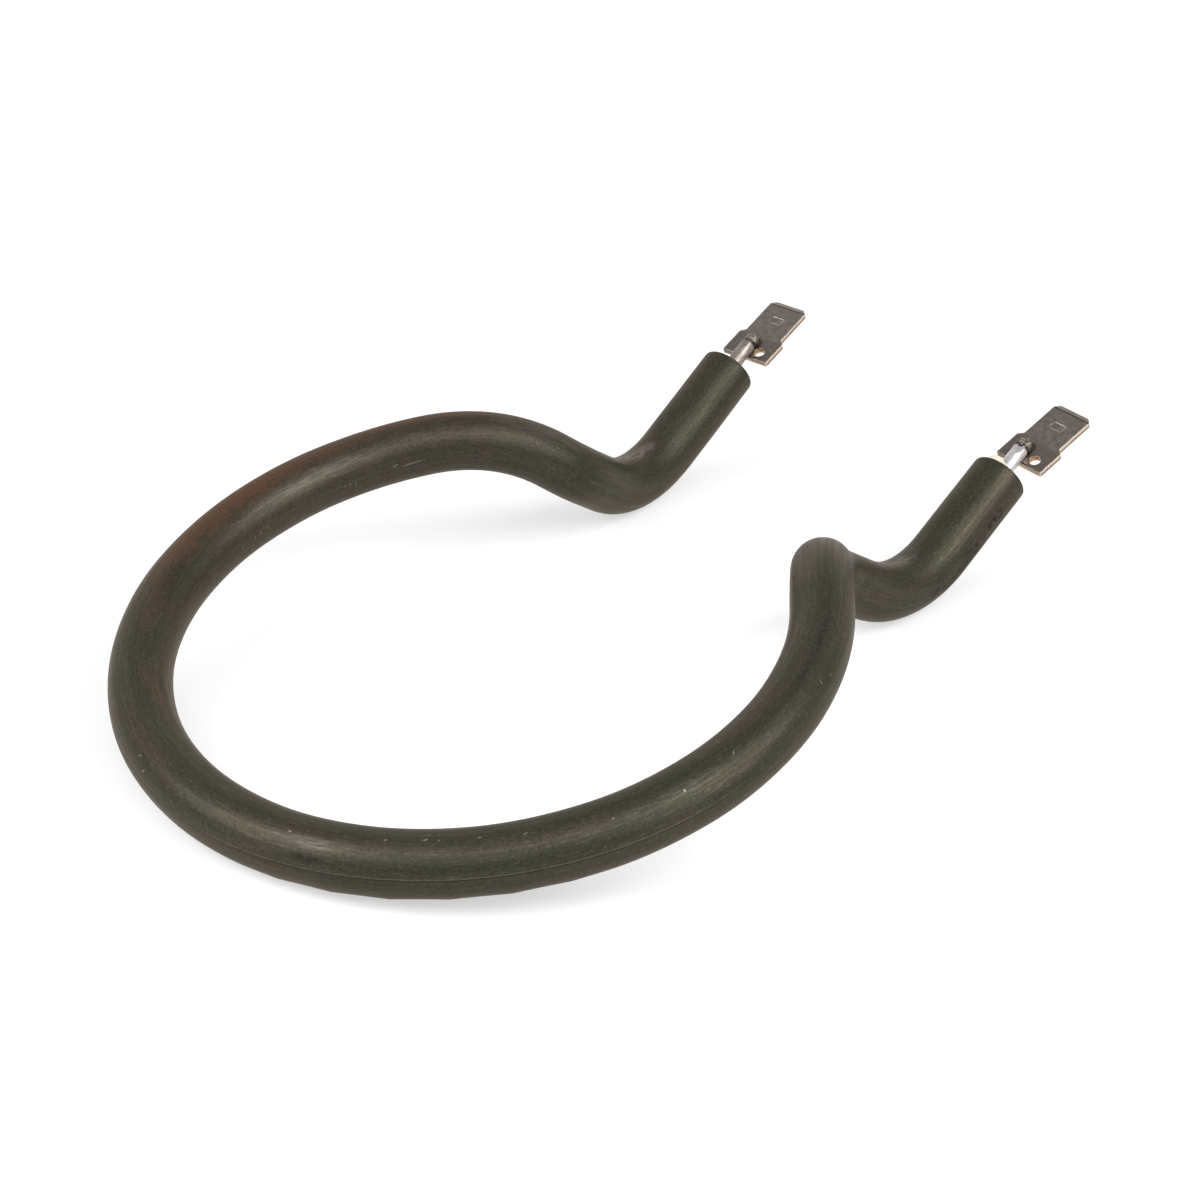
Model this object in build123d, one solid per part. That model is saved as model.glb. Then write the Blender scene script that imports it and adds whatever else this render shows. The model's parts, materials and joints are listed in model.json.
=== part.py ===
from build123d import *
from math import atan2, ceil, cos, degrees, radians, sin
import os

# Tubular heating element: one metal-sheathed tube bent into an open ring, with two
# raised legs that carry a welded blade tab each.  Millimetres and degrees.
#
# The element is drawn in its own bending frame first: the ring lies flat about the
# origin, +Y points from the ring to the legs and +X across them.  At the end every
# piece is tilted and lifted together, so that the element lies on the floor as it
# comes to rest: on the back of the ring and the undersides of its two rise bends.

# ---------------------------------------------------------------- sheath and core
tube_diameter = 8.0
tube_wall = 0.7
rim_cut = 0.4               # broken outer edge at each cut end

pin_diameter = 2.2          # cold terminal pin, solid steel
pin_reach = 13.5            # length of pin inside the leg, which stays cold
pin_end_cut = 0.4           # chamfer at both ends of the pin
coil_wire = 0.45            # resistance wire, wound on the pin's own diameter
coil_grip = 4.0             # length of coil screwed over each pin's inner end

# What lies sealed in the tube is drawn light: flats across the section, and short
# straight chords round the bends, inside a sheath that is truly round.
flat_turn = 45.0            # each flat turns this far from the next
chord_turn = 12.0           # most that one chord turns from the next

seal_depth = 5.0            # how far the end seal fills the tube
seal_proud = 0.4            # bead of seal left standing out of the tube
seal_cut = 0.2

# ---------------------------------------------------------------- bent route
ring_radius = 42.0          # to the tube's centre line
ring_end_angle = 38.0       # the ring ends this far round from +X, on both sides
drop_angle = 44.5           # dip of the tube as it leaves the ring's plane
drop_bend_radius = 23.5
turn_bend_radius = 12.5     # turns the dipping tube from the ring towards the leg
link_outward = 9.0          # the straight link below the ring leans out by this
link_length = 5.0
rise_bend_radius = 15.5     # the low U bend that lifts the leg
leg_rise = 17.5
leg_outward = 1.5

# ---------------------------------------------------------------- blade tab
sheet = 0.8
blade_width = 6.3
tab_length = 11.9
base_width = 7.8
base_length = 4.3
shoulder_slope = 0.6        # length of the short slope between base and blade
shoulder_round = 0.3
corner_cut = 0.7
lead_in = 0.25              # bevel round the blade's tip
pin_overlap = 3.7           # length of pin lying on the tab's base
groove_depth = 0.45         # how deep the pin is pressed in at the base's edge
eye_diameter = 1.6
eye_across = 1.7
eye_along = 1.5
dimple_width = 2.0
dimple_length = 1.3
dimple_depth = 0.2
dimple_slope = 30.0
dimple_along = 8.2
tab_gap = 3.5               # from the tube's cut end to the tab's base

# ---------------------------------------------------------------- how it lies
steepest_tilt = 45.0        # the lying tilt is looked for between level and this
tilt_error = 1e-6
rest_step = 0.15            # spacing of the stations that may touch the floor

# ---------------------------------------------------------------- the two ends
# side is the sign of X.  Each leg is cut to its own length, and each tab sits with
# its own small set: how far towards +X it is shifted and turned on its pin.
ends = {
    "left": {"side": -1, "leg_length": 15.8, "tab_shift": 0.15, "tab_turn": 0.5},
    "right": {"side": 1, "leg_length": 14.6, "tab_shift": 0.5, "tab_turn": 6.5},
}

tube_radius = tube_diameter / 2
bore_radius = tube_radius - tube_wall
pin_radius = pin_diameter / 2
coil_radius = pin_radius + coil_wire
hidden_flats = round(360 / flat_turn)
tab_pitch = degrees(atan2(groove_depth, pin_overlap))
overrun = tube_diameter     # spare length on tools that cut right through


# ---------------------------------------------------------------- the bent route
def heading(outward, rise):
    """Unit direction on the +X side, measured from +Y outwards and upwards."""
    level = cos(radians(rise))
    return Vector(sin(radians(outward)) * level, cos(radians(outward)) * level, sin(radians(rise)))


def bend(start, old, new, radius):
    """Tangent arc of the given radius that turns the old direction into the new."""
    turn = radians(old.get_angle(new))
    inward = (new - old * old.dot(new)).normalized()
    stop = start + old * (radius * sin(turn)) + inward * (radius * (1 - cos(turn)))
    return TangentArc(start, stop, tangent=old)


def side_route(end):
    """Centre line of one half, from the back of the ring to the end of its leg."""
    leave = heading(-ring_end_angle, 0)
    dip = heading(-ring_end_angle, -drop_angle)
    link = heading(link_outward, -drop_angle)
    leg = heading(leg_outward, leg_rise)

    ring = CenterArc((0, 0, 0), ring_radius, -90, 90 + ring_end_angle)
    drop_bend = bend(ring @ 1, leave, dip, drop_bend_radius)
    turn_bend = bend(drop_bend @ 1, dip, link, turn_bend_radius)
    link_run = Line(turn_bend @ 1, turn_bend @ 1 + link * link_length)
    rise_bend = bend(link_run @ 1, link, leg, rise_bend_radius)
    leg_run = Line(rise_bend @ 1, rise_bend @ 1 + leg * end["leg_length"])

    half = Wire([ring, drop_bend, turn_bend, link_run, rise_bend, leg_run])
    return half if end["side"] > 0 else half.mirror(Plane.YZ)


def full_route():
    """Centre line of the whole tube, from one leg's end to the other's."""
    return Wire([edge for end in ends.values() for edge in side_route(end).edges()])


def stretch(route, start, stop):
    """The part of the route between two lengths measured from its start."""
    return route.trim(start / route.length, stop / route.length)


def square_to(route):
    """Plane across the start of a route."""
    return Plane(origin=route @ 0, z_dir=route % 0)


def hidden_core(route, margin, section):
    """Core of flats that stops a margin short of both ends and follows the bends in chords."""
    inside = stretch(route, margin, route.length - margin)
    knots = [inside @ 0]
    for edge in inside.order_edges():
        turn = (edge % 0).get_angle(edge % 1)
        chords = max(1, ceil(turn / chord_turn))
        knots += [edge @ (i / chords) for i in range(1, chords + 1)]
    path = Polyline(*knots)
    return sweep(square_to(path) * section, path, transition=Transition.RIGHT)


def leg_frame(end):
    """Frame on a tube's cut face: Y out along the leg, X across towards +X, Z up."""
    route = side_route(end)
    out = route % 1
    across = out.cross(Vector(0, 0, 1)).normalized()
    return Plane(origin=route @ 1, x_dir=across, z_dir=across.cross(out))


def along_y(radius, start, stop):
    """Cylinder about the Y axis between two stations."""
    return extrude(Plane.XZ.offset(-start) * Circle(radius), start - stop)


# ---------------------------------------------------------------- the pieces
def fill_section():
    """The sealed bore's outline, flats inside the true bore."""
    return RegularPolygon(bore_radius, hidden_flats)


def make_sheath(route):
    """The metal tube: round outside, bored for the seals, filled between them."""
    tube = sweep(square_to(route) * Circle(tube_radius), route)
    rims = tube.faces().filter_by(GeomType.PLANE).edges()
    tube = chamfer(rims, rim_cut) - hidden_core(route, seal_depth, fill_section())
    for end in ends.values():
        tube -= leg_frame(end) * along_y(bore_radius, -seal_depth, overrun)
    return tube


def make_pin(end):
    """Cold pin, straight in its leg, from inside the coil to the end of its weld."""
    pin = along_y(pin_radius, -pin_reach, tab_gap + pin_overlap)
    return leg_frame(end) * chamfer(pin.edges().filter_by(GeomType.CIRCLE), pin_end_cut)


def make_coil(route):
    """The wound resistance wire, as the thin close-wound sleeve that its turns fill."""
    outline = RegularPolygon(coil_radius, hidden_flats, major_radius=False)
    opening = RegularPolygon(pin_radius, hidden_flats, major_radius=False)
    return hidden_core(route, pin_reach - coil_grip, outline - opening)


def make_fill(route, coil, pins):
    """Compacted magnesia from seal to seal, round the pins and round and in the coil."""
    return hidden_core(route, seal_depth, fill_section()) - coil - pins


def make_seal(end, pin):
    """Bead that closes the tube round its pin and stands a little out of the end."""
    bead = along_y(bore_radius, -seal_depth, seal_proud)
    outer_edge = bead.edges().filter_by(GeomType.CIRCLE).sort_by(Axis.Y)[-1]
    return leg_frame(end) * chamfer(outer_edge, seal_cut) - pin


def tab_outline():
    """Flat outline of the stamped tab: wide base, sloped shoulders, cut corners."""
    half_base = base_width / 2
    half_blade = blade_width / 2
    right_side = [
        (half_base, 0),
        (half_base, base_length),
        (half_blade, base_length + shoulder_slope),
        (half_blade, tab_length - corner_cut),
        (half_blade - corner_cut, tab_length),
    ]
    left_side = [(-x, y) for x, y in reversed(right_side)]
    outline = make_face(Polyline(*right_side, *left_side, close=True))
    base_corners, blade_corners = outline.vertices().group_by(Axis.Y)[1:3]
    return fillet(base_corners + blade_corners, shoulder_round)


def make_tab(end, pin):
    """Stamped blade tab: dimpled blade, eyed base, pressed trough for its pin."""
    tab = extrude(tab_outline(), -sheet)
    tip_edges = tab.edges().filter_by(Axis.X).group_by(Axis.Y)[-1]
    tab = chamfer(tip_edges, lead_in)

    seat = (
        leg_frame(end)
        * Pos(end["tab_shift"], tab_gap, groove_depth - pin_radius)
        * Rot(X=-tab_pitch)
        * Rot(Z=-end["tab_turn"])
    )
    trough = leg_frame(end) * along_y(pin_radius + sheet, tab_gap - overrun, tab_gap + pin_overlap)
    below_base = seat * Pos(0, base_length / 2, -overrun / 2) * Box(base_width, base_length, overrun)
    tab = seat * tab + (trough & below_base)

    dimple_outline = Pos(0, dimple_along) * Rectangle(dimple_width, dimple_length)
    dimple = extrude(dimple_outline, -dimple_depth, taper=dimple_slope)
    eye = Pos(eye_across, eye_along) * Cylinder(eye_diameter / 2, overrun)
    return tab + seat * Pos(0, 0, -sheet) * dimple - seat * dimple - seat * eye - pin


# ---------------------------------------------------------------- how it lies
def lying_tilt(route):
    """Tilt about X at which the ring's back and the rise bends touch one floor."""
    stations = ceil(route.length / rest_step)
    points = [route @ (i / stations) for i in range(stations + 1)]

    def lowest(tilt, on_ring):
        return min(
            p.Y * sin(radians(tilt)) + p.Z * cos(radians(tilt)) for p in points if (p.Y < 0) == on_ring
        )

    low, high = 0.0, steepest_tilt
    while high - low > tilt_error:
        tilt = (low + high) / 2
        if lowest(tilt, True) > lowest(tilt, False):
            low = tilt
        else:
            high = tilt
    return tilt


def lay_down(pieces, tilt):
    """Tilt all pieces together, stand them on the floor and centre them along Y."""
    tilted = {name: Rot(X=tilt) * piece for name, piece in pieces.items()}
    boxes = [piece.bounding_box() for piece in tilted.values()]
    floor = min(box.min.Z for box in boxes)
    middle = (min(box.min.Y for box in boxes) + max(box.max.Y for box in boxes)) / 2
    shift = Pos(0, -middle, -floor)
    return {name: shift * piece for name, piece in tilted.items()}


def build():
    """Every piece by its node's name, lying on the floor."""
    route = full_route()
    pins = {name: make_pin(end) for name, end in ends.items()}
    coil = make_coil(route)
    pieces = {
        "sheath_tube": make_sheath(route),
        "magnesia_fill": make_fill(route, coil, list(pins.values())),
        "resistance_coil": coil,
    }
    for name, end in ends.items():
        pieces[f"{name}_terminal_pin"] = pins[name]
        pieces[f"{name}_end_seal"] = make_seal(end, pins[name])
        pieces[f"{name}_blade_tab"] = make_tab(end, pins[name])
    return lay_down(pieces, lying_tilt(route))


os.makedirs("parts", exist_ok=True)
for node, piece in build().items():
    export_step(piece, f"parts/{node}.step")
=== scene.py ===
"""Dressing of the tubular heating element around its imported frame.

The sheathed tube, its two end seals, terminal pins, welds and blade tabs are built
here as fine meshes in the places that the frame gives them, and every piece, with
the sealed pieces inside, gets its own finish.  Sizes in the classes are millimetres
and degrees; meshes are written in metres.
"""

import json
import logging
import math
from dataclasses import dataclass, field
from enum import Enum

import bmesh
import bpy
import numpy as np
from mathutils import Matrix, Vector, geometry, noise

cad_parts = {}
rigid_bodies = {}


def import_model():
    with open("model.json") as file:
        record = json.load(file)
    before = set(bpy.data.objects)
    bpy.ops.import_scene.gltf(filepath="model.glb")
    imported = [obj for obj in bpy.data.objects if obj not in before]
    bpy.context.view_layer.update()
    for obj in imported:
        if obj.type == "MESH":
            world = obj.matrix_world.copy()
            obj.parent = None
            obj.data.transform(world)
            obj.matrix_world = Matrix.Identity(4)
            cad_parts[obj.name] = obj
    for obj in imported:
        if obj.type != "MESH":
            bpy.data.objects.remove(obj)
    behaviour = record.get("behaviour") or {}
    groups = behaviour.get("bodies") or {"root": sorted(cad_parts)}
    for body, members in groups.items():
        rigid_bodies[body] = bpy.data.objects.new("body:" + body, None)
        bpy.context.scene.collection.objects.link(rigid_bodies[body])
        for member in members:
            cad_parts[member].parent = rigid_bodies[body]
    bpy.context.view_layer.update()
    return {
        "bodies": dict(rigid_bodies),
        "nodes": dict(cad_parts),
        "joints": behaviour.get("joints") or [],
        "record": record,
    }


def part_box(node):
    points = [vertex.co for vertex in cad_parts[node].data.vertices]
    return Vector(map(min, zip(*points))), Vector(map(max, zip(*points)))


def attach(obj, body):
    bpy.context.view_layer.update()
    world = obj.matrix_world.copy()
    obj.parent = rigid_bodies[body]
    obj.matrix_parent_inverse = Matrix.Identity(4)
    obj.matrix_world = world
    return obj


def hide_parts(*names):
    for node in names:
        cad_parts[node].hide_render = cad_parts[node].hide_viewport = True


LOG = logging.getLogger("heating_element")
MM = 0.001
BODY = "root"

Colour = tuple[float, float, float]


class Side(Enum):
    """The two ends of the element, by the sign of X."""

    LEFT = -1
    RIGHT = 1

    @property
    def label(self) -> str:
        """Name of the side as the frame's nodes spell it."""
        return self.name.lower()


class Coordinates(Enum):
    """Mesh attributes that the finishes read."""

    UNBENT = "unbent"
    LOCAL = "local"


# ---------------------------------------------------------------- node trees
class Bench:
    """Lays out one material's node tree."""

    def __init__(self, name: str) -> None:
        """Start an empty tree with an output and a surface shader.

        Args:
            name: Name of the material.
        """
        self.material = bpy.data.materials.new(name)
        self.material.use_nodes = True
        self.tree = self.material.node_tree
        self.tree.nodes.clear()
        self.shader = self.tree.nodes.new("ShaderNodeBsdfPrincipled")
        output = self.tree.nodes.new("ShaderNodeOutputMaterial")
        self.link(self.shader.outputs[0], output.inputs["Surface"])

    def link(self, source: bpy.types.NodeSocket, target: bpy.types.NodeSocket) -> None:
        """Join two sockets.

        Args:
            source: Where the value comes from.
            target: Where it goes.
        """
        self.tree.links.new(source, target)

    def put(self, value: object, target: bpy.types.NodeSocket) -> None:
        """Feed a socket from another socket or from a constant.

        Args:
            value: A node socket, a number, a colour or a vector.
            target: The socket to feed.
        """
        if isinstance(value, bpy.types.NodeSocket):
            self.link(value, target)
        elif target.type == "RGBA" and isinstance(value, tuple) and len(value) == 3:
            target.default_value = (*value, 1.0)
        else:
            target.default_value = value

    def math(self, operation: str, *values: object, clamp: bool = False) -> bpy.types.NodeSocket:
        """Apply one scalar operation.

        Args:
            operation: Blender's name of the operation.
            values: Its one to three operands.
            clamp: Whether the result is held between 0 and 1.

        Returns:
            The result's socket.
        """
        node = self.tree.nodes.new("ShaderNodeMath")
        node.operation = operation
        node.use_clamp = clamp
        for value, target in zip(values, node.inputs):
            self.put(value, target)
        return node.outputs[0]

    def total(self, *values: object) -> bpy.types.NodeSocket:
        """Sum of any number of scalars."""
        result = values[0]
        for value in values[1:]:
            result = self.math("ADD", result, value)
        return result

    def product(self, *values: object) -> bpy.types.NodeSocket:
        """Product of any number of scalars."""
        result = values[0]
        for value in values[1:]:
            result = self.math("MULTIPLY", result, value)
        return result

    def span(
        self,
        value: object,
        low: float,
        high: float,
        to_low: float = 0.0,
        to_high: float = 1.0,
    ) -> bpy.types.NodeSocket:
        """Smoothly remap a scalar.

        Args:
            value: The scalar to remap.
            low: Value that gives to_low; it may be above high.
            high: Value that gives to_high.
            to_low: Result at and beyond low.
            to_high: Result at and beyond high.

        Returns:
            The remapped scalar's socket.
        """
        node = self.tree.nodes.new("ShaderNodeMapRange")
        node.interpolation_type = "SMOOTHSTEP"
        if low > high:
            low, high, to_low, to_high = high, low, to_high, to_low
        for number, socket in zip((low, high, to_low, to_high), node.inputs[1:5]):
            socket.default_value = number
        self.put(value, node.inputs[0])
        return node.outputs[0]

    def mix(self, share: object, first: object, second: object) -> bpy.types.NodeSocket:
        """Mix two colours.

        Args:
            share: How much of the second colour shows.
            first: The colour at share 0.
            second: The colour at share 1.

        Returns:
            The mixed colour's socket.
        """
        node = self.tree.nodes.new("ShaderNodeMix")
        node.data_type = "RGBA"
        node.clamp_factor = True
        self.put(share, node.inputs[0])
        self.put(first, node.inputs[6])
        self.put(second, node.inputs[7])
        return node.outputs[2]

    def attribute(self, source: Coordinates) -> bpy.types.NodeSocket:
        """Vector attribute of the mesh.

        Args:
            source: Which of the kept coordinates to read.

        Returns:
            The vector's socket.
        """
        node = self.tree.nodes.new("ShaderNodeAttribute")
        node.attribute_type = "GEOMETRY"
        node.attribute_name = source.value
        return node.outputs["Vector"]

    def object_place(self) -> bpy.types.NodeSocket:
        """The object's own coordinates, in metres."""
        return self.tree.nodes.new("ShaderNodeTexCoord").outputs["Object"]

    def split(self, vector: bpy.types.NodeSocket) -> tuple[bpy.types.NodeSocket, ...]:
        """The three components of a vector.

        Args:
            vector: The vector to take apart.

        Returns:
            The sockets of x, y and z.
        """
        node = self.tree.nodes.new("ShaderNodeSeparateXYZ")
        self.link(vector, node.inputs[0])
        return tuple(node.outputs)

    def scaled(
        self,
        vector: bpy.types.NodeSocket,
        scale: Colour,
        shift: Colour = (0.0, 0.0, 0.0),
    ) -> bpy.types.NodeSocket:
        """A vector stretched and shifted.

        Args:
            vector: The vector to change.
            scale: Factor on each axis.
            shift: What is added on each axis afterwards.

        Returns:
            The result's socket.
        """
        node = self.tree.nodes.new("ShaderNodeMapping")
        self.link(vector, node.inputs["Vector"])
        node.inputs["Scale"].default_value = scale
        node.inputs["Location"].default_value = shift
        return node.outputs[0]

    def grain(
        self,
        vector: bpy.types.NodeSocket,
        scale: float = 1.0,
        detail: float = 3.0,
        roughness: float = 0.55,
        distortion: float = 0.0,
    ) -> bpy.types.NodeSocket:
        """Fractal noise, about 0 to 1 round a half.

        Args:
            vector: Where the noise is read.
            scale: Cells per unit.
            detail: Octaves.
            roughness: Share that each octave keeps.
            distortion: How far the noise bends itself.

        Returns:
            The noise value's socket.
        """
        node = self.tree.nodes.new("ShaderNodeTexNoise")
        self.link(vector, node.inputs["Vector"])
        node.inputs["Scale"].default_value = scale
        node.inputs["Detail"].default_value = detail
        node.inputs["Roughness"].default_value = roughness
        node.inputs["Distortion"].default_value = distortion
        return node.outputs[0]

    def bump(self, height: bpy.types.NodeSocket, depth: float, strength: float = 1.0) -> None:
        """Raise the surface shader's normal by a height.

        Args:
            height: The height's socket, in parts of the depth.
            depth: Depth in metres for a height of 1.
            strength: Share of the effect that is kept.
        """
        node = self.tree.nodes.new("ShaderNodeBump")
        node.inputs["Strength"].default_value = strength
        node.inputs["Distance"].default_value = depth
        self.link(height, node.inputs["Height"])
        self.link(node.outputs[0], self.shader.inputs["Normal"])

    def set(self, **values: object) -> None:
        """Set the surface shader's sockets by name, with underscores for spaces."""
        for name, value in values.items():
            label = name.replace("_", " ").title().replace("Ior", "IOR")
            self.put(value, self.shader.inputs[label])


# ---------------------------------------------------------------- the bent route
def heading(outward: float, rise: float) -> np.ndarray:
    """Unit direction on the right-hand side.

    Args:
        outward: Degrees from +Y towards +X.
        rise: Degrees upwards.

    Returns:
        The direction.
    """
    out, up = math.radians(outward), math.radians(rise)
    return np.array([math.sin(out) * math.cos(up), math.cos(out) * math.cos(up), math.sin(up)])


@dataclass(frozen=True)
class Stations:
    """Places along the tube: centres, directions, side vectors and lengths from the middle."""

    centre: np.ndarray
    along: np.ndarray
    out: np.ndarray
    up: np.ndarray
    length: np.ndarray


@dataclass(frozen=True)
class BentRoute:
    """The tube's centre line: ring, drop, turn, link, rise and leg on each side."""

    tube_radius: float = 4.0
    ring_radius: float = 42.0
    ring_end_angle: float = 38.0
    drop_angle: float = 44.5
    drop_bend_radius: float = 23.5
    turn_bend_radius: float = 12.5
    link_outward: float = 9.0
    link_length: float = 5.0
    rise_bend_radius: float = 15.5
    leg_rise: float = 17.5
    leg_outward: float = 1.5
    leg_length: dict[Side, float] = field(
        default_factory=lambda: {Side.LEFT: 15.8, Side.RIGHT: 14.6}
    )
    lying_tilt: float = 11.4455
    step: float = 0.5

    def half(self, side: Side) -> tuple[np.ndarray, np.ndarray]:
        """One half in the bending frame, drawn on the right and mirrored for the left.

        Args:
            side: Which half.

        Returns:
            Points and unit directions, from the ring's back to the leg's end.
        """
        count = math.ceil(math.radians(90 + self.ring_end_angle) * self.ring_radius / self.step)
        turn = np.radians(np.linspace(-90, self.ring_end_angle, count + 1))
        flat = np.zeros_like(turn)
        points = [np.stack([np.cos(turn), np.sin(turn), flat], 1) * self.ring_radius]
        aims = [np.stack([-np.sin(turn), np.cos(turn), flat], 1)]

        def bend(new: np.ndarray, radius: float) -> None:
            """Turn the run into a new direction along a tangent arc.

            Args:
                new: The direction to end in.
                radius: Radius of the arc.
            """
            start, old = points[-1][-1], aims[-1][-1]
            whole = math.acos(float(old @ new))
            inward = new - old * (old @ new)
            inward /= np.linalg.norm(inward)
            parts = math.ceil(whole * radius / self.step)
            angle = np.linspace(0, whole, parts + 1)[1:, None]
            points.append(start + radius * (np.sin(angle) * old + (1 - np.cos(angle)) * inward))
            aims.append(np.cos(angle) * old + np.sin(angle) * inward)

        def run(length: float) -> None:
            """Carry the run straight on.

            Args:
                length: How far.
            """
            start, aim = points[-1][-1], aims[-1][-1]
            parts = math.ceil(length / self.step)
            points.append(start + np.linspace(0, length, parts + 1)[1:, None] * aim)
            aims.append(np.repeat(aim[None], parts, 0))

        bend(heading(-self.ring_end_angle, -self.drop_angle), self.drop_bend_radius)
        bend(heading(self.link_outward, -self.drop_angle), self.turn_bend_radius)
        run(self.link_length)
        bend(heading(self.leg_outward, self.leg_rise), self.rise_bend_radius)
        run(self.leg_length[side])
        mirror = np.array([side.value, 1, 1])
        return np.concatenate(points) * mirror, np.concatenate(aims) * mirror

    def stations(self, box: tuple[Vector, Vector]) -> Stations:
        """The whole route as it lies on the floor, from the left end to the right.

        Args:
            box: Lowest and highest corner of the sheath's node, in metres.

        Returns:
            The stations, with side vectors carried along without twist: out starts as
            the outward and up as the upward direction at the ring's back.
        """
        left, left_aim = self.half(Side.LEFT)
        right, right_aim = self.half(Side.RIGHT)
        points = np.concatenate([left[:0:-1], right])
        aims = np.concatenate([-left_aim[:0:-1], right_aim])
        middle = len(left) - 1

        out = np.zeros_like(points)
        out[middle] = (0, -1, 0)
        for order in (range(middle + 1, len(points)), range(middle - 1, -1, -1)):
            before = middle
            for i in order:
                side = out[before] - aims[i] * (out[before] @ aims[i])
                out[i] = side / np.linalg.norm(side)
                before = i
        length = np.concatenate([[0], np.cumsum(np.linalg.norm(np.diff(points, axis=0), axis=1))])

        tilt = math.radians(self.lying_tilt)
        lay = np.array(Matrix.Rotation(tilt, 3, "X"))
        place = np.array(
            [
                0,
                box[0].y / MM + self.tube_radius + self.ring_radius * math.cos(tilt),
                self.tube_radius + self.ring_radius * math.sin(tilt),
            ]
        )
        along, out = aims @ lay.T, out @ lay.T
        return Stations(
            points @ lay.T + place, along, out, np.cross(out, along), length - length[middle]
        )


def leg_matrix(stations: Stations, side: Side) -> Matrix:
    """Frame on a tube's cut face: Y out along the leg, X across towards +X, Z up.

    Args:
        stations: The route as it lies.
        side: Which leg.

    Returns:
        Matrix from the frame to the row, both in millimetres.
    """
    end = 0 if side is Side.LEFT else -1
    aim = Vector(stations.along[end]) * side.value
    lying = math.radians(BentRoute.lying_tilt)
    plumb = Vector((0, -math.sin(lying), math.cos(lying)))
    across = aim.cross(plumb).normalized()
    up = across.cross(aim)
    turn = Matrix((across, aim, up)).transposed().to_4x4()
    return Matrix.Translation(stations.centre[end]) @ turn


# ---------------------------------------------------------------- meshes
def make_piece(
    name: str,
    points: np.ndarray,
    faces: list[tuple[int, ...]],
    finish: bpy.types.Material,
    coordinates: tuple[Coordinates, np.ndarray],
) -> bpy.types.Object:
    """Make a smooth piece from points in the row frame and let it ride on the body.

    Args:
        name: Name of the piece.
        points: Its vertices, in millimetres.
        faces: Vertex numbers of each face.
        finish: Its material.
        coordinates: A vector for each vertex, and the attribute it is kept under.

    Returns:
        The new piece.
    """
    mesh = bpy.data.meshes.new(name)
    mesh.from_pydata((points * MM).tolist(), [], faces)
    kind, vectors = coordinates
    layer = mesh.attributes.new(kind.value, "FLOAT_VECTOR", "POINT")
    layer.data.foreach_set("vector", vectors.astype(np.float32).ravel())
    mesh.materials.append(finish)
    mesh.polygons.foreach_set("use_smooth", [True] * len(mesh.polygons))
    mesh.update()
    piece = bpy.data.objects.new(name, mesh)
    bpy.context.scene.collection.objects.link(piece)
    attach(piece, BODY)
    LOG.info("%s: %d vertices, %d faces", name, len(mesh.vertices), len(mesh.polygons))
    return piece


def ring_faces(rings: int, around: int, closed: bool = False) -> list[tuple[int, ...]]:
    """Quads between successive rings of vertices.

    Args:
        rings: Number of rings.
        around: Vertices in each ring.
        closed: Whether the last ring joins the first.

    Returns:
        The faces.
    """
    faces = []
    for i in range(rings if closed else rings - 1):
        here, there = i * around, (i + 1) % rings * around
        for j in range(around):
            k = (j + 1) % around
            faces.append((here + j, here + k, there + k, there + j))
    return faces


def shade_sharp(piece: bpy.types.Object, angle: float) -> None:
    """Keep edges steeper than an angle sharp, the rest smooth.

    Args:
        piece: The piece.
        angle: The angle, in degrees.
    """
    model = bmesh.new()
    model.from_mesh(piece.data)
    for edge in model.edges:
        edge.smooth = edge.calc_face_angle(0.0) < math.radians(angle)
    model.to_mesh(piece.data)
    model.free()


# ---------------------------------------------------------------- the sheath
@dataclass(frozen=True)
class Stroke:
    """A fine mark on the tube, by length from the middle and angle round it."""

    length: float
    angle: float
    reach: float
    width: float
    lean: float = 0.0
    strength: float = 1.0


@dataclass(frozen=True)
class Patch:
    """A soft-edged area on the tube, by length from the middle and angle round it."""

    length: float
    angle: float
    half_length: float
    half_width: float
    strength: float = 1.0


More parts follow.
